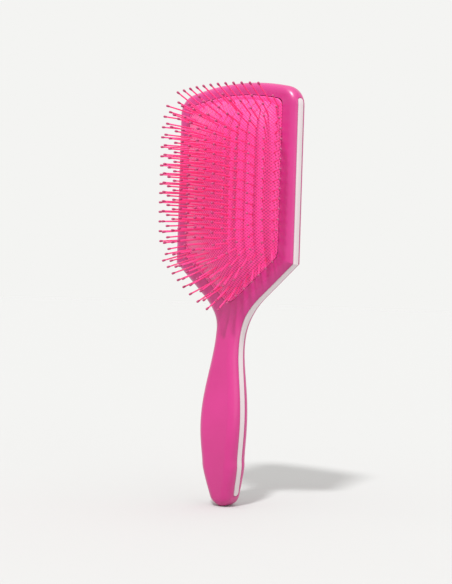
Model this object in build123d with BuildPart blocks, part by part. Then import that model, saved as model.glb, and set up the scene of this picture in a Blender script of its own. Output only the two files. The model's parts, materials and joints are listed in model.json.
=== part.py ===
from build123d import *

import math
import os

# Paddle brush, standing upright: +X to the right seen from the pins, the pins point along -Y,
# +Z up towards the head. The origin is the middle of the grip, and y = 0 is the plane of the
# frame round the cushion. All lengths are in millimetres and all angles in degrees.

# ---------------------------------------------------------------- driving dimensions
HEAD_HALF_WIDTH = 45.0
HEAD_TOP = 188.0
HEAD_TOP_RADIUS = 150.0
HEAD_CORNER_RADIUS = 12.0
HEAD_SHOULDER = 80.9
HEAD_SHOULDER_RADIUS = 9.0
HEAD_THICKNESS = 12.0
FLARE_START = (22.0, 61.2)
NECK = (9.5, 41.0)
GRIP_UPPER = (11.7, 12.0)
GRIP_WIDEST = (13.7, -19.0)
GRIP_LOWER = (12.1, -34.0)
BUTT = -62.0
BUTT_RADIUS = 8.0
BUTT_TAPER = 15.0

# side view of the handle, as (y, z) points down its front and up its back
FRONT_BEND = 54.0
HANDLE_FRONT = [(-2.3, 42.0), (-7.6, 5.0), (-9.2, -20.0), (-7.4, -45.0)]
BUTT_FRONT = -4.0
BUTT_FRONT_COURSE = (0.22, -1.0)
BUTT_BACK = 10.6
BUTT_BACK_COURSE = (-0.1, 1.0)
HANDLE_BACK = [(9.3, -45.0), (7.4, -15.0), (8.0, 10.0), (10.3, 42.0)]
BACK_BEND = 72.0

FRONT_EDGE_RADIUS = 5.2
BACK_EDGE_RADIUS = 5.8
WALL = 2.2

# the line where the shells meet: (y, z) points up the handle, then straight up the head
PARTING = 5.0
PARTING_BUTT = 3.0
PARTING_BUTT_COURSE = (-0.25, 1.0)
PARTING_POINTS = [(1.0, -44.0), (-0.9, -18.0), (-0.4, 5.0), (3.4, 42.0)]
PARTING_BEND = 78.0

STRIP_WIDTH = 4.0
STRIP_DEPTH = 1.0
STRIP_GAP = 0.3
STRIP_TOP = 176.0
STRIP_BOTTOM = -55.5
STRIP_END_SLACK = 0.05

PEG_RADIUS = 1.8
PEG_CLEARANCE = 0.1
SOCKET_WALL = 1.4
PEG_SPOTS = [(44.0, 1.6), (6.0, -3.0), (-40.0, -3.0)]

PAD_HALF_WIDTH = 35.3
PAD_TOP = 180.3
PAD_TOP_RADIUS = 133.0
PAD_TOP_CORNER_RADIUS = 4.0
PAD_SHOULDER = 85.2
PAD_SHOULDER_RADIUS = 6.0
PAD_TIP = 56.3
PAD_TIP_RADIUS = 6.5
PAD_GAP = 0.35

DOME_HEIGHT = 12.7
DOME_REACH = 35.7
DOME_SIDE_POWER = 2.23
DOME_END_RIM = 2.0
DOME_END_RUN = 27.0
DOME_END_POWER = 2.4
MEMBRANE = 1.4
RIM_WIDTH = 1.6
RIM_RISE = 0.6
FLANGE_WIDTH = 1.8
FLANGE_THICKNESS = 1.5
FLANGE_PLAY = 0.05
CLAMP_WIDTH = 1.6

PIN_COLUMNS = 14
PIN_COLUMN_PITCH = 5.0
PIN_ROW_PITCH = 5.55
PIN_ROW_DATUM = 89.4
PIN_ROWS_TRIED = range(-6, 16)
PIN_SHIFTED_COLUMNS = (7.5, 22.5)
PIN_LEAST_SPACING = 3.7
PIN_DIAMETER = 0.9
PIN_SHAFT = 15.3
PIN_HEAD_DIAMETER = 2.2
PIN_HEAD_THICKNESS = 0.7
PIN_HEAD_DEPTH = 1.8
PIN_HOLE_CLEARANCE = 0.15
PIN_SIDE_RAKE = 13.8
PIN_SIDE_RAKE_POWER = 5
PIN_UP_LEAN_SHARE = 0.77

TOP_ROW_HEIGHT = 175.3
TOP_ROW_DROP = 1.5
TOP_ROW_SIDE_LEAN = (-22.0, 6.0)
TOP_ROW_UP_LEAN = 33.0
CORNER_PIN = (32.5, 171.5)
CORNER_PIN_LEAN = (27.0, 12.5)

VEE_ROW_PINS = 8
VEE_ROW_FIRST = 2.4
VEE_ROW_LAST = 31.5
VEE_ROW_INSET = 3.95
VEE_ROW_SIDE_LEAN = 38.0
VEE_ROW_DOWN_LEAN = (35.0, 23.0)

TIP_DIAMETER = 1.4
TIP_LENGTH = 2.3

# FAR clears the whole body, and BEYOND carries a cut just past a surface
FAR = 60.0
BEYOND = 1.0
GRID_STEP = 3.5

os.makedirs("parts", exist_ok=True)

# ---------------------------------------------------------------- derived values, slope in radians
pad_vee_slope = math.atan2(PAD_SHOULDER - PAD_TIP, PAD_HALF_WIDTH)
pad_corner = PAD_TOP - PAD_HALF_WIDTH**2 / (2 * PAD_TOP_RADIUS)
flange_back = WALL + FLANGE_PLAY + FLANGE_THICKNESS


# ---------------------------------------------------------------- outlines
def at_height(sketch, height):
    """Corners of an upright sketch at a height."""
    return sketch.vertices().filter_by_position(Axis.Y, height - 0.01, height + 0.01)


def head_outline(inset):
    """Front view of the whole brush, moved in by inset, drawn in the current BuildLine."""
    half_width = HEAD_HALF_WIDTH - inset
    top = HEAD_TOP - inset
    corner = top - half_width**2 / (2 * HEAD_TOP_RADIUS)
    vee = math.atan2(HEAD_SHOULDER - FLARE_START[1], HEAD_HALF_WIDTH - FLARE_START[0])
    shoulder = HEAD_SHOULDER + inset * (1 - math.sin(vee)) / math.cos(vee)
    flare = (FLARE_START[0] - inset * math.sin(vee), FLARE_START[1] + inset * math.cos(vee))
    taper = math.radians(BUTT_TAPER)
    butt_side = (BUTT_RADIUS - inset) * math.cos(taper)
    butt_rise = BUTT + BUTT_RADIUS - (BUTT_RADIUS - inset) * math.sin(taper)
    ThreePointArc((-half_width, corner), (0, top), (half_width, corner))
    ThreePointArc((-butt_side, butt_rise), (0, BUTT + inset), (butt_side, butt_rise))
    for side in (1, -1):
        Line((side * half_width, corner), (side * half_width, shoulder))
        Line((side * half_width, shoulder), (side * flare[0], flare[1]))
        Spline(
            (side * flare[0], flare[1]),
            (side * (NECK[0] - inset), NECK[1]),
            (side * (GRIP_UPPER[0] - inset), GRIP_UPPER[1]),
            (side * (GRIP_WIDEST[0] - inset), GRIP_WIDEST[1]),
            (side * (GRIP_LOWER[0] - inset), GRIP_LOWER[1]),
            (side * butt_side, butt_rise),
            tangents=[
                (-side * math.cos(vee), -math.sin(vee)),
                (-side * math.sin(taper), -math.cos(taper)),
            ],
        )


def side_outline(inset):
    """Side view of the whole brush in (y, z), its front and back moved in by inset."""
    above = HEAD_TOP + BEYOND
    below = BUTT - BEYOND
    back = HEAD_THICKNESS - inset
    front_points = [(y + inset, z) for y, z in HANDLE_FRONT]
    back_points = [(y - inset, z) for y, z in HANDLE_BACK]
    butt_front = (BUTT_FRONT + inset, below)
    butt_back = (BUTT_BACK - inset, below)
    Line((inset, above), (inset, FRONT_BEND))
    Spline((inset, FRONT_BEND), *front_points, butt_front, tangents=[(0, -1), BUTT_FRONT_COURSE])
    Line(butt_front, butt_back)
    Spline(butt_back, *back_points, (back, BACK_BEND), tangents=[BUTT_BACK_COURSE, (0, 1)])
    Line((back, BACK_BEND), (back, above))
    Line((back, above), (inset, above))


def parting_line(low, high):
    """Side view in (y, z) of where the two shells meet, from height low to height high."""
    bend = (PARTING, PARTING_BEND)
    Spline((PARTING_BUTT, low), *PARTING_POINTS, bend, tangents=[PARTING_BUTT_COURSE, (0, 1)])
    Line(bend, (PARTING, high))


def pad_sketch(growth):
    """Sketch of the cushion's opening on the frame's plane, grown by an offset."""
    with BuildSketch(Plane.XZ, mode=Mode.PRIVATE) as outline:
        with BuildLine():
            ThreePointArc(
                (-PAD_HALF_WIDTH, pad_corner), (0, PAD_TOP), (PAD_HALF_WIDTH, pad_corner)
            )
            Line((PAD_HALF_WIDTH, pad_corner), (PAD_HALF_WIDTH, PAD_SHOULDER))
            Line((PAD_HALF_WIDTH, PAD_SHOULDER), (0, PAD_TIP))
            Line((0, PAD_TIP), (-PAD_HALF_WIDTH, PAD_SHOULDER))
            Line((-PAD_HALF_WIDTH, PAD_SHOULDER), (-PAD_HALF_WIDTH, pad_corner))
        make_face()
        fillet(outline.vertices().group_by(Axis.Y)[-1], PAD_TOP_CORNER_RADIUS)
        fillet(outline.vertices().group_by(Axis.Y)[0], PAD_TIP_RADIUS)
        fillet(at_height(outline, PAD_SHOULDER), PAD_SHOULDER_RADIUS)
        if growth:
            offset(amount=growth, kind=Kind.ARC)
    return outline.sketch


def between(sketch, front, back):
    """Solid of a sketch on the frame's plane, from y = front to y = back."""
    return extrude(sketch.moved(Location((0, front, 0))), amount=front - back, mode=Mode.PRIVATE)


# ---------------------------------------------------------------- the dome and the pins
def end_fall(distance):
    """Share of the dome's full height at a distance in from an end of the cushion."""
    return 1 - max(0.0, 1 - (distance - DOME_END_RIM) / DOME_END_RUN) ** DOME_END_POWER


def dome_height(x, z):
    """Height of the cushion's surface in front of the frame's plane."""
    height = DOME_HEIGHT * (1 - (abs(x) / DOME_REACH) ** DOME_SIDE_POWER)
    height *= end_fall(PAD_TOP - x**2 / (2 * PAD_TOP_RADIUS) - z)
    for side in (1, -1):
        drop = (PAD_HALF_WIDTH - side * x) * math.tan(pad_vee_slope)
        height *= end_fall((z - PAD_SHOULDER + drop) * math.cos(pad_vee_slope))
    return height


def leaning(lean_x, lean_z):
    """Unit vector out of the cushion, leaned by lean_x towards +X and lean_z towards +Z."""
    side = math.tan(math.radians(lean_x))
    rise = math.tan(math.radians(lean_z))
    return Vector(side, -1, rise).normalized()


def field_pin_direction(x, z):
    """Pins in the field stand square to the dome, with more rake at the sides."""
    step = 0.5
    slope_x = (dome_height(x + step, z) - dome_height(x - step, z)) / (2 * step)
    slope_z = (dome_height(x, z + step) - dome_height(x, z - step)) / (2 * step)
    rake = PIN_SIDE_RAKE * (abs(x) / CORNER_PIN[0]) ** PIN_SIDE_RAKE_POWER
    lean_x = math.degrees(math.atan(abs(slope_x))) + rake
    lean_z = math.degrees(math.atan(-slope_z))
    if lean_z > 0:
        lean_z *= PIN_UP_LEAN_SHARE
    return leaning(math.copysign(lean_x, x), lean_z)


def top_row():
    """The row that follows the arched top edge, with a lower pin at each corner."""
    pins = []
    last = PIN_COLUMN_PITCH * (PIN_COLUMNS - 3) / 2
    for number in range(PIN_COLUMNS - 2):
        x = PIN_COLUMN_PITCH * number - last
        z = TOP_ROW_HEIGHT - TOP_ROW_DROP * (x / last) ** 2
        share = number / (PIN_COLUMNS - 3)
        lean_x = TOP_ROW_SIDE_LEAN[0] + (TOP_ROW_SIDE_LEAN[1] - TOP_ROW_SIDE_LEAN[0]) * share
        pins.append((x, z, leaning(lean_x, TOP_ROW_UP_LEAN)))
    for side in (1, -1):
        direction = leaning(side * CORNER_PIN_LEAN[0], CORNER_PIN_LEAN[1])
        pins.append((side * CORNER_PIN[0], CORNER_PIN[1], direction))
    return pins


def vee_row(side):
    """The row along one of the two slanted lower edges, from the tip out to the shoulder."""
    pins = []
    for number in range(VEE_ROW_PINS):
        share = number / (VEE_ROW_PINS - 1)
        out = VEE_ROW_FIRST + (VEE_ROW_LAST - VEE_ROW_FIRST) * share
        edge = PAD_SHOULDER - (PAD_HALF_WIDTH - out) * math.tan(pad_vee_slope)
        z = edge + VEE_ROW_INSET / math.cos(pad_vee_slope)
        lean_x = VEE_ROW_SIDE_LEAN * (1 - (1 - out / VEE_ROW_LAST) ** 3)
        lean_z = VEE_ROW_DOWN_LEAN[0] + (VEE_ROW_DOWN_LEAN[1] - VEE_ROW_DOWN_LEAN[0]) * share
        pins.append((side * out, z, leaning(side * lean_x, -lean_z)))
    return pins


def pin_rows():
    """Pins as (x, z, direction), row by row from the lowest up."""
    edges = {"vee_left": vee_row(-1), "vee_right": vee_row(1), "top": top_row()}
    edge_pins = [pin for pins in edges.values() for pin in pins]
    field = {}
    for number in range(PIN_COLUMNS):
        x = PIN_COLUMN_PITCH * (number - (PIN_COLUMNS - 1) / 2)
        shift = PIN_ROW_PITCH / 2 if abs(x) in PIN_SHIFTED_COLUMNS else 0.0
        heights = [z for px, z, _ in edge_pins if abs(px - x) < PIN_COLUMN_PITCH / 2]
        for row in PIN_ROWS_TRIED:
            z = PIN_ROW_DATUM + row * PIN_ROW_PITCH + shift
            room = min(math.hypot(px - x, pz - z) for px, pz, _ in edge_pins)
            if room > PIN_LEAST_SPACING and min(heights) < z < max(heights):
                field.setdefault(row, []).append((x, z, field_pin_direction(x, z)))
    numbered = {f"{n + 1:02d}": field[row] for n, row in enumerate(sorted(field))}
    return edges | numbered


# ---------------------------------------------------------------- body of the brush
def edges_round(body, side):
    """The edge loop between the front (side = -1) or back (side = 1) and the flanks."""
    facing = body.faces().filter_by(lambda f: side * f.normal_at(f.center()).Y > 0.8)
    flanks = body.faces().filter_by(lambda f: abs(f.normal_at(f.center()).Y) < 0.1)
    flank_edges = set(flanks.edges())
    return [edge for edge in facing.edges() if edge in flank_edges]


def rounded_form(inset):
    """The outer form of the brush, or the same form with its surface moved in by inset."""
    with BuildPart() as form:
        with BuildSketch(Plane.XZ) as front_view:
            with BuildLine():
                head_outline(inset)
            make_face()
            corners = front_view.vertices().filter_by(
                lambda corner: abs(corner.X) > HEAD_HALF_WIDTH - inset - 0.01
            )
            fillet(corners.group_by(Axis.Y)[-1], HEAD_CORNER_RADIUS - inset)
            fillet(corners.group_by(Axis.Y)[0], HEAD_SHOULDER_RADIUS - inset)
        extrude(amount=FAR, both=True)
        with BuildSketch(Plane.YZ):
            with BuildLine():
                side_outline(inset)
            make_face()
        extrude(amount=FAR, both=True, mode=Mode.INTERSECT)
        fillet(edges_round(form, -1), FRONT_EDGE_RADIUS - inset)
        fillet(edges_round(form, 1), BACK_EDGE_RADIUS - inset)
    return form


brush_form = rounded_form(0)
hollow = rounded_form(WALL)

with BuildPart() as walls:
    add(brush_form.part)
    add(hollow.part, mode=Mode.SUBTRACT)

with BuildPart() as skin:
    add(brush_form.part)
    add(rounded_form(STRIP_DEPTH).part, mode=Mode.SUBTRACT)

with BuildPart() as behind_parting:
    with BuildSketch(Plane.YZ):
        with BuildLine():
            parting_line(BUTT - BEYOND, HEAD_TOP + BEYOND)
            Polyline(
                (PARTING, HEAD_TOP + BEYOND),
                (FAR, HEAD_TOP + BEYOND),
                (FAR, BUTT - BEYOND),
                (PARTING_BUTT, BUTT - BEYOND),
            )
        make_face()
    extrude(amount=FAR, both=True)


def parting_band(width, ends):
    """Band of the given width along the parting line, on the right of the brush."""
    with BuildPart() as band:
        with BuildSketch(Plane.YZ) as profile:
            with BuildLine() as middle:
                parting_line(STRIP_BOTTOM - ends, STRIP_TOP + ends)
            trace(middle.line, width)
            by_height = profile.vertices().sort_by(Axis.Y)
            fillet(by_height[:2] + by_height[-2:], width / 2 - STRIP_END_SLACK)
        extrude(amount=FAR)
    return band.part


def side_strip(side):
    """Inlaid strip along the parting line on one flank."""
    band = parting_band(STRIP_WIDTH, 0)
    with BuildPart() as strip:
        add(skin.part)
        add(band if side > 0 else band.mirror(Plane.YZ), mode=Mode.INTERSECT)
    return strip


def cut_strip_grooves():
    """Cut the grooves that hold the side strips, with a gap round each, from a shell."""
    band = parting_band(STRIP_WIDTH + 2 * STRIP_GAP, STRIP_GAP)
    with BuildPart(mode=Mode.PRIVATE) as grooves:
        add(skin.part)
        add([band, band.mirror(Plane.YZ)], mode=Mode.INTERSECT)
    add(grooves.part, mode=Mode.SUBTRACT)


def pegs(radius):
    """Round bars through the body at the peg spots, from the front to the back."""
    bars = []
    for height, _ in PEG_SPOTS:
        bar = Cylinder(radius, 2 * FAR, rotation=(90, 0, 0), mode=Mode.PRIVATE)
        bars.append(bar.moved(Location((0, 0, height))))
    return bars


with BuildPart() as front_shell:
    add(walls.part)
    with BuildPart(mode=Mode.PRIVATE) as sockets:
        add(pegs(PEG_RADIUS + PEG_CLEARANCE + SOCKET_WALL))
        add(hollow.part, mode=Mode.INTERSECT)
    add(sockets.part)
    for height, tip in PEG_SPOTS:
        with Locations(Location((0, tip - PEG_CLEARANCE, height), (-90, 0, 0))):
            Cylinder(
                PEG_RADIUS + PEG_CLEARANCE,
                FAR,
                align=(Align.CENTER, Align.CENTER, Align.MIN),
                mode=Mode.SUBTRACT,
            )
    add(behind_parting.part, mode=Mode.SUBTRACT)
    add(between(pad_sketch(0), -BEYOND, WALL + BEYOND), mode=Mode.SUBTRACT)
    cut_strip_grooves()
front_shell.part.label = "front_shell"
export_step(front_shell.part, "parts/front_shell.step")

with BuildPart() as back_shell:
    add(walls.part)
    add(behind_parting.part, mode=Mode.INTERSECT)
    add(between(pad_sketch(FLANGE_WIDTH), flange_back, HEAD_THICKNESS - WALL / 2))
    add(between(pad_sketch(FLANGE_WIDTH - CLAMP_WIDTH), 0, HEAD_THICKNESS - WALL), mode=Mode.SUBTRACT)
    for height, tip in PEG_SPOTS:
        with BuildPart(mode=Mode.PRIVATE) as peg:
            with Locations(Location((0, tip, height), (-90, 0, 0))):
                Cylinder(PEG_RADIUS, FAR, align=(Align.CENTER, Align.CENTER, Align.MIN))
            add(brush_form.part, mode=Mode.INTERSECT)
        add(peg.part)
    cut_strip_grooves()
back_shell.part.label = "back_shell"
export_step(back_shell.part, "parts/back_shell.step")

left_side_strip = side_strip(-1)
left_side_strip.part.label = "left_side_strip"
export_step(left_side_strip.part, "parts/left_side_strip.step")

right_side_strip = side_strip(1)
right_side_strip.part.label = "right_side_strip"
export_step(right_side_strip.part, "parts/right_side_strip.step")


# ---------------------------------------------------------------- cushion
def dome_sheet():
    """The domed membrane before it is trimmed to the cushion's outline."""
    across = round(2 * (PAD_HALF_WIDTH + GRID_STEP) / GRID_STEP)
    up = round((PAD_TOP - PAD_TIP + 2 * GRID_STEP) / GRID_STEP)
    grid = []
    for column in range(across + 1):
        x = (column / across * 2 - 1) * (PAD_HALF_WIDTH + GRID_STEP)
        line = []
        for row in range(up + 1):
            z = PAD_TIP - GRID_STEP + (PAD_TOP - PAD_TIP + 2 * GRID_STEP) * row / up
            line.append(Vector(x, -dome_height(x, z), z))
        grid.append(line)
    outside = Face.make_surface_from_array_of_points(grid, tol=0.02)
    return extrude(outside, amount=MEMBRANE, dir=(0, 1, 0), mode=Mode.PRIVATE)


def seat_plane(pin, sunk=0.0):
    """Plane square to a pin, sunk below the cushion's surface."""
    x, z, direction = pin
    origin = Vector(x, -dome_height(x, z), z) - direction * sunk
    return Plane(origin=origin, x_dir=Vector(1, 0, 0) - direction * direction.X, z_dir=direction)


rows_of_pins = pin_rows()

with BuildPart() as cushion:
    add(dome_sheet())
    add(between(pad_sketch(-PAD_GAP), -FAR, FAR), mode=Mode.INTERSECT)
    with BuildPart(mode=Mode.PRIVATE) as rim:
        add(between(pad_sketch(-PAD_GAP), -RIM_RISE, flange_back))
        add(between(pad_sketch(FLANGE_WIDTH), WALL + FLANGE_PLAY, flange_back))
        add(between(pad_sketch(-PAD_GAP - RIM_WIDTH), -FAR, FAR), mode=Mode.SUBTRACT)
    add(rim.part)
    pin_holes = []
    for pin in [pin for pins in rows_of_pins.values() for pin in pins]:
        bore = Cylinder(
            PIN_DIAMETER / 2 + PIN_HOLE_CLEARANCE, 4 * PIN_HEAD_DEPTH, mode=Mode.PRIVATE
        )
        pin_holes.append(bore.moved(seat_plane(pin).location))
    add(pin_holes, mode=Mode.SUBTRACT)
cushion.part.label = "cushion"
export_step(cushion.part, "parts/cushion.step")

# ---------------------------------------------------------------- pins and their ball tips
with BuildPart() as one_pin:
    with BuildSketch(Plane.XZ):
        with BuildLine():
            Polyline(
                (0, -PIN_HEAD_DEPTH - PIN_HEAD_THICKNESS),
                (PIN_HEAD_DIAMETER / 2, -PIN_HEAD_DEPTH - PIN_HEAD_THICKNESS),
                (PIN_HEAD_DIAMETER / 2, -PIN_HEAD_DEPTH),
                (PIN_DIAMETER / 2, -PIN_HEAD_DEPTH),
                (PIN_DIAMETER / 2, PIN_SHAFT),
                (0, PIN_SHAFT),
                close=True,
            )
        make_face()
    revolve(axis=Axis.Z)

with BuildPart() as one_tip:
    with BuildSketch(Plane.XZ):
        with BuildLine():
            widest = PIN_SHAFT + TIP_LENGTH - TIP_DIAMETER / 2
            Line((0, PIN_SHAFT), (PIN_DIAMETER / 2, PIN_SHAFT))
            TangentArc(
                (TIP_DIAMETER / 2, widest), (PIN_DIAMETER / 2, PIN_SHAFT), tangent=(0, -1)
            )
            TangentArc(
                (TIP_DIAMETER / 2, widest), (0, PIN_SHAFT + TIP_LENGTH), tangent=(0, 1)
            )
            Line((0, PIN_SHAFT + TIP_LENGTH), (0, PIN_SHAFT))
        make_face()
    revolve(axis=Axis.Z)

for row_name, pins in rows_of_pins.items():
    for node, shape in (("pins", one_pin), ("ball_tips", one_tip)):
        with BuildPart() as row_parts:
            with Locations([seat_plane(pin).location for pin in pins]):
                add(shape.part)
        row_parts.part.label = f"{node}_{row_name}"
        export_step(row_parts.part, f"parts/{node}_{row_name}.step")
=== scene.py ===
import json
import math

import bpy
from mathutils import Matrix, Vector


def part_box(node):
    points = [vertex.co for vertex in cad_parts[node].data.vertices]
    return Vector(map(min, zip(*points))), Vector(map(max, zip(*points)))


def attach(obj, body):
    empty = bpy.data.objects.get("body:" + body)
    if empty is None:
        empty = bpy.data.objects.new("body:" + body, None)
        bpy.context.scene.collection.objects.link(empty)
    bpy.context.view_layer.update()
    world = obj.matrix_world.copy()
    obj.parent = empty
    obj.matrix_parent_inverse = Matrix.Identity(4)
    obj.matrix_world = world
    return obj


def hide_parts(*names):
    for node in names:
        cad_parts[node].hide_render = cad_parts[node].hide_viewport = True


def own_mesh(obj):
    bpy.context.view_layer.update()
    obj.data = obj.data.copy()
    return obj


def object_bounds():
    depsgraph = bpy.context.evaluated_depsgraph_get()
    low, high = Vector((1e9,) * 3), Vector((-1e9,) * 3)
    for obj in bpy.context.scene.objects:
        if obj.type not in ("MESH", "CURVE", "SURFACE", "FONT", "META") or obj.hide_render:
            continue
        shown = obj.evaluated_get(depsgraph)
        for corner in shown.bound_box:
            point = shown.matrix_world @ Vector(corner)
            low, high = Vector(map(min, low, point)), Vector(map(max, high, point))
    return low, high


MM = 0.001

# camera: yaw round the brush, pitch and roll in radians, and its distance in metres
CAMERA_YAW = 0.69
CAMERA_PITCH = -0.002
CAMERA_ROLL = 0.032
CAMERA_DISTANCE = 0.7434
CAMERA_LENS = 77.7
CAMERA_SHIFT = (-0.0049, 0.0034)

# studio: screen colour of the backdrop, the floor, and for each light the way it travels,
# its strength and its spread in degrees
BACKDROP = (244, 244, 242)
FLOOR_SIZE = 30.0
FLOOR_COLOUR = (0.526, 0.526, 0.522, 1.0)
LIGHTS = {
    "key": ((-0.062, 0.169, -0.245), 2.4, 6.0),
    "side_fill": ((-1.0, 0.25, -0.3), 0.5, 50.0),
    "top": ((-0.1, 0.1, -1.0), 0.5, 60.0),
}

# materials
BLOTCH_SCALE = 40.0
GRAIN_STRENGTH = 0.15
GRAIN_DEPTH = 0.05 * MM
SCATTER_LENGTH = 1.5 * MM
# bump levels where the cushion's painted valley shade is full and where it has faded out on the crests
VALLEY_SHADE_LEVEL = -0.8
CREST_UNSHADED_LEVEL = 0.6

# cushion skin
FLANGE_AND_GAP = 2.15 * MM
TOP_RADIUS = 133.0 * MM
TOP_CORNER = 4.0 * MM
SHOULDER_HEIGHT = 85.2 * MM
SHOULDER_CORNER = 6.0 * MM
SHOULDER_LIFT = 0.55
VEE_SLOPE = 0.819
TIP_CORNER = 6.5 * MM
DOME_REACH = 35.7 * MM
DOME_SIDE_POWER = 2.23
DOME_END_RIM = 2.0 * MM
DOME_END_RUN = 27.0 * MM
DOME_END_POWER = 2.4
RIM_RISE = 0.6 * MM
RIM_WIDTH = 1.6 * MM
BUMP_ACROSS = 1.95 * MM
BUMP_ALONG = 1.80 * MM
BUMP_HEIGHT = 0.10 * MM
SKIN_COLUMNS = 200
SKIN_ROWS = 400
EDGE_CROWDING = 0.18
SKIRT_DEPTH = 2.0 * MM

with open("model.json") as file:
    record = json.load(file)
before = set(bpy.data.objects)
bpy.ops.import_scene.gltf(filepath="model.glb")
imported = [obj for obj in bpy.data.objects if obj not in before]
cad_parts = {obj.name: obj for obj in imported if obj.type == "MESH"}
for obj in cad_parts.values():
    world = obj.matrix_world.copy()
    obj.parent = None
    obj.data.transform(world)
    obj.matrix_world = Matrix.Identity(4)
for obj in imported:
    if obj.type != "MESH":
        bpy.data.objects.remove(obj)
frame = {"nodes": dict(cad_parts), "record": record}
cad_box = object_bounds()
nodes = frame["nodes"]


# ---------------------------------------------------------------- materials
def srgb(red, green, blue):
    """Linear colour with full alpha from 0-255 screen values."""
    out = []
    for value in (red, green, blue):
        value /= 255
        out.append(value / 12.92 if value <= 0.04045 else ((value + 0.055) / 1.055) ** 2.4)
    return (*out, 1.0)


def new_material(name, roughness, coat=0.0, sheen=0.0, subsurface=0.0):
    """A material with its shader set, its node tree and its shader node."""
    material = bpy.data.materials.new(name)
    material.use_nodes = True
    shader = material.node_tree.nodes["Principled BSDF"]
    shader.inputs["Roughness"].default_value = roughness
    shader.inputs["Coat Weight"].default_value = coat
    shader.inputs["Coat Roughness"].default_value = 0.25
    shader.inputs["Sheen Weight"].default_value = sheen
    shader.inputs["Subsurface Weight"].default_value = subsurface
    shader.inputs["Subsurface Scale"].default_value = SCATTER_LENGTH
    return material, material.node_tree, shader


def noise(tree, scale):
    """Fine noise fixed to the object."""
    texture = tree.nodes.new("ShaderNodeTexNoise")
    coordinates = tree.nodes.new("ShaderNodeTexCoord")
    tree.links.new(coordinates.outputs["Object"], texture.inputs["Vector"])
    texture.inputs["Scale"].default_value = scale
    texture.inputs["Detail"].default_value = 3.0
    return texture


def mottled(tree, shader, factor, low, high):
    """Base colour running from low to high with a factor."""
    ramp = tree.nodes.new("ShaderNodeValToRGB")
    ramp.color_ramp.elements[0].color = low
    ramp.color_ramp.elements[1].color = high
    ramp.color_ramp.elements[0].position = 0.3
    ramp.color_ramp.elements[1].position = 0.7
    tree.links.new(factor, ramp.inputs["Fac"])
    tree.links.new(ramp.outputs["Color"], shader.inputs["Base Color"])


def grain(tree, shader, scale):
    """Fine moulded grain on the surface."""
    bump = tree.nodes.new("ShaderNodeBump")
    bump.inputs["Strength"].default_value = GRAIN_STRENGTH
    bump.inputs["Distance"].default_value = GRAIN_DEPTH
    tree.links.new(noise(tree, scale).outputs["Fac"], bump.inputs["Height"])
    tree.links.new(bump.outputs["Normal"], shader.inputs["Normal"])


def plain_plastic(name, low, high, roughness, grain_scale, **kind):
    """Moulded plastic, faintly blotched between two colours, with a fine grain."""
    material, tree, shader = new_material(name, roughness, **kind)
    mottled(tree, shader, noise(tree, BLOTCH_SCALE).outputs["Fac"], low, high)
    grain(tree, shader, grain_scale)
    return material


def cushion_material():
    """Pink rubber with painted shade, darker in the valleys between its raised diamonds."""
    material, tree, shader = new_material("cushion_rubber", 0.45, coat=0.2, sheen=0.3, subsurface=0.1)
    coordinates = tree.nodes.new("ShaderNodeTexCoord")
    split = tree.nodes.new("ShaderNodeSeparateXYZ")
    tree.links.new(coordinates.outputs["Object"], split.inputs["Vector"])
    waves = []
    for axis, period in (("X", BUMP_ACROSS), ("Z", BUMP_ALONG)):
        scale = tree.nodes.new("ShaderNodeMath")
        scale.operation = "MULTIPLY"
        scale.inputs[1].default_value = 2 * math.pi / period
        tree.links.new(split.outputs[axis], scale.inputs[0])
        wave = tree.nodes.new("ShaderNodeMath")
        wave.operation = "COSINE"
        tree.links.new(scale.outputs[0], wave.inputs[0])
        waves.append(wave)
    product = tree.nodes.new("ShaderNodeMath")
    product.operation = "MULTIPLY"
    tree.links.new(waves[0].outputs[0], product.inputs[0])
    tree.links.new(waves[1].outputs[0], product.inputs[1])
    # painted shade: the bump pattern darkens the cushion's colour in the valleys between the diamonds
    factor = tree.nodes.new("ShaderNodeMapRange")
    factor.inputs["From Min"].default_value = VALLEY_SHADE_LEVEL
    factor.inputs["From Max"].default_value = CREST_UNSHADED_LEVEL
    tree.links.new(product.outputs[0], factor.inputs["Value"])
    mottled(tree, shader, factor.outputs["Result"], srgb(200, 26, 112), srgb(246, 50, 152))
    return material


shell_pink = plain_plastic("shell_pink", srgb(184, 20, 114), srgb(192, 26, 122), 0.38, 2500.0, coat=0.5)
strip_white = plain_plastic("strip_white", srgb(206, 192, 196), srgb(213, 200, 203), 0.35, 1500.0, coat=0.2)
pin_pink = plain_plastic("pin_pink", srgb(240, 66, 140), srgb(248, 80, 152), 0.35, 3000.0, subsurface=0.15)
tip_mauve = plain_plastic("tip_mauve", srgb(170, 56, 104), srgb(182, 64, 114), 0.35, 3000.0)

slot_material = {"shell": shell_pink, "strip": strip_white, "pin": pin_pink, "tip": tip_mauve}
for part in frame["record"]["subparts"]:
    chosen = slot_material.get(part["material_slot"])
    if chosen:
        mesh = nodes[part["node"]].data
        mesh.materials.clear()
        mesh.materials.append(chosen)


# ---------------------------------------------------------------- cushion skin
low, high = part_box("cushion")
half_width = high[0] - FLANGE_AND_GAP
pad_top = high[2] - FLANGE_AND_GAP
dome_height = -low[1]
vee_angle = math.atan(VEE_SLOPE)
tip_height = low[2] + FLANGE_AND_GAP


def upper_edge(x):
    """Height of the cushion's top edge at x, with rounded corners."""
    into_corner = max(0.0, abs(x) - (half_width - TOP_CORNER))
    return pad_top - x * x / (2 * TOP_RADIUS) - TOP_CORNER + math.sqrt(
        max(0.0, TOP_CORNER**2 - into_corner**2)
    )


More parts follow.
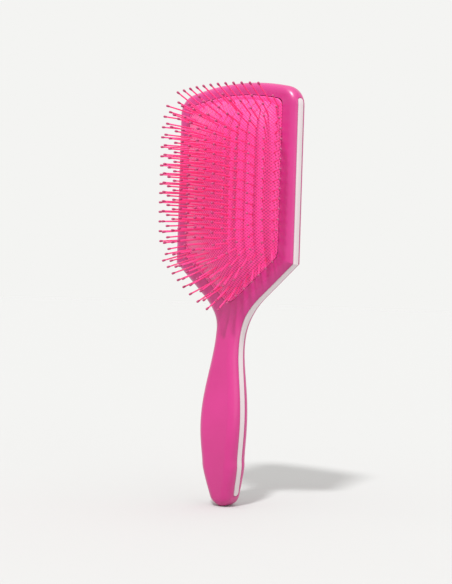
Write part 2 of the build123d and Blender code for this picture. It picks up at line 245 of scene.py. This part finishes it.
def lower_edge(x):
    """Height of the cushion's lower edge at x: a vee with rounded tip and shoulders."""
    line = SHOULDER_HEIGHT - (half_width - abs(x)) * VEE_SLOPE
    tip_end = TIP_CORNER * math.sin(vee_angle)
    if abs(x) < tip_end:
        return tip_height + TIP_CORNER - math.sqrt(TIP_CORNER**2 - x * x)
    blend = SHOULDER_CORNER * (1 - math.sin(vee_angle))
    into_corner = max(0.0, abs(x) - (half_width - blend)) / blend
    return line + SHOULDER_CORNER * SHOULDER_LIFT * (1 - math.sqrt(max(0.0, 1 - into_corner**2)))


def end_fall(distance):
    """Share of the dome's full height at a distance in from an end of the cushion."""
    return 1 - max(0.0, 1 - (distance - DOME_END_RIM) / DOME_END_RUN) ** DOME_END_POWER


def skin_height(x, z, edge):
    """Height of the skin in front of the frame: a dome inside a low rounded rim."""
    height = dome_height * (1 - (abs(x) / DOME_REACH) ** DOME_SIDE_POWER)
    height *= end_fall(pad_top - x * x / (2 * TOP_RADIUS) - z)
    for side in (1, -1):
        drop = (half_width - side * x) * VEE_SLOPE
        height *= end_fall((z - SHOULDER_HEIGHT + drop) * math.cos(vee_angle))
    inside = min(1.0, edge / RIM_WIDTH)
    rim = RIM_RISE * math.sqrt(max(0.0, 1 - (1 - inside) ** 2))
    textured = min(1.0, max(0.0, (edge - RIM_WIDTH) / RIM_WIDTH))
    bumps = math.cos(2 * math.pi * x / BUMP_ACROSS) * math.cos(2 * math.pi * z / BUMP_ALONG)
    return max(height * inside, rim) + BUMP_HEIGHT * textured * bumps


def cushion_skin():
    """The whole cushion as one closed mesh: the skin seen from outside, a skirt and a back."""
    vertices = []
    for column in range(SKIN_COLUMNS + 1):
        across = column / SKIN_COLUMNS * 2 - 1
        crowded = math.sin(across * math.pi / 2) * EDGE_CROWDING
        x = half_width * crowded + half_width * across * (1 - EDGE_CROWDING)
        bottom = lower_edge(x)
        top = upper_edge(x)
        for row in range(SKIN_ROWS + 1):
            z = bottom + (top - bottom) * row / SKIN_ROWS
            edge = min(half_width - abs(x), top - z, (z - bottom) * math.cos(vee_angle))
            vertices.append((x, -skin_height(x, z, max(0.0, edge)), z))
    stride = SKIN_ROWS + 1
    faces = []
    for column in range(SKIN_COLUMNS):
        for row in range(SKIN_ROWS):
            corner = column * stride + row
            faces.append((corner, corner + 1, corner + stride + 1, corner + stride))
    rim = [column * stride for column in range(SKIN_COLUMNS + 1)]
    rim += [SKIN_COLUMNS * stride + row for row in range(1, stride)]
    rim += [column * stride + SKIN_ROWS for column in range(SKIN_COLUMNS - 1, -1, -1)]
    rim += list(range(SKIN_ROWS - 1, 0, -1))
    first = len(vertices)
    vertices += [(vertices[index][0], SKIRT_DEPTH, vertices[index][2]) for index in rim]
    for number, index in enumerate(rim):
        following = (number + 1) % len(rim)
        faces.append((index, rim[following], first + following, first + number))
    faces.append(tuple(first + number for number in range(len(rim))))
    mesh = bpy.data.meshes.new("cushion_skin")
    mesh.from_pydata(vertices, [], faces)
    mesh.update()
    skin = bpy.data.objects.new("cushion_skin", mesh)
    bpy.context.scene.collection.objects.link(skin)
    for face in mesh.polygons:
        face.use_smooth = len(face.vertices) == 4
    mesh.materials.append(cushion_material())
    return skin


skin = cushion_skin()
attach(skin, "brush_body")
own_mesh(skin)
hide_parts("cushion")

# ---------------------------------------------------------------- stage, light and camera
def lay_floor(height):
    half = FLOOR_SIZE / 2
    corners = [(-half, -half), (half, -half), (half, half), (-half, half)]
    mesh = bpy.data.meshes.new("floor")
    mesh.from_pydata([(x, y, height) for x, y in corners], [], [(0, 1, 2, 3)])
    floor = bpy.data.objects.new("floor", mesh)
    bpy.context.scene.collection.objects.link(floor)
    paint, _, shader = new_material("floor_paint", 0.9)
    shader.inputs["Base Color"].default_value = FLOOR_COLOUR
    shader.inputs["Specular IOR Level"].default_value = 0.0
    mesh.materials.append(paint)


def light_backdrop():
    world = bpy.data.worlds.new("studio")
    bpy.context.scene.world = world
    world.use_nodes = True
    background = world.node_tree.nodes["Background"]
    background.inputs["Color"].default_value = srgb(*BACKDROP)
    background.inputs["Strength"].default_value = 1.0


def far_light(name, travels, power, spread):
    """Even light over the whole floor, travelling in one direction, softened by its spread."""
    light = bpy.data.lights.new(name, "SUN")
    light.energy = power
    light.angle = math.radians(spread)
    lamp = bpy.data.objects.new(name, light)
    lamp.rotation_euler = Vector(travels).to_track_quat("-Z", "Y").to_euler()
    bpy.context.scene.collection.objects.link(lamp)


def place_camera(target):
    """Camera looking level at the target from the right of the front, rolled slightly."""
    backward = Vector(
        (
            math.sin(CAMERA_YAW) * math.cos(CAMERA_PITCH),
            -math.cos(CAMERA_YAW) * math.cos(CAMERA_PITCH),
            math.sin(CAMERA_PITCH),
        )
    )
    right = Vector((0, 0, 1)).cross(backward).normalized()
    up = backward.cross(right)
    tilted_right = math.cos(CAMERA_ROLL) * right + math.sin(CAMERA_ROLL) * up
    tilted_up = -math.sin(CAMERA_ROLL) * right + math.cos(CAMERA_ROLL) * up
    lens = bpy.data.cameras.new("camera")
    lens.sensor_width = 36.0
    lens.lens = CAMERA_LENS
    lens.shift_x, lens.shift_y = CAMERA_SHIFT
    lens.clip_start = 0.01
    camera = bpy.data.objects.new("camera", lens)
    axes = Matrix((tilted_right, tilted_up, backward)).transposed()
    camera.matrix_world = Matrix.Translation(target + backward * CAMERA_DISTANCE) @ axes.to_4x4()
    bpy.context.scene.collection.objects.link(camera)
    bpy.context.scene.camera = camera


lay_floor(cad_box[0][2])
light_backdrop()
for light_name, settings in LIGHTS.items():
    far_light(light_name, *settings)
place_camera(Vector((0, 0, (cad_box[0][2] + cad_box[1][2]) / 2)))
bpy.context.scene.view_settings.view_transform = "Standard"

bpy.context.view_layer.update()
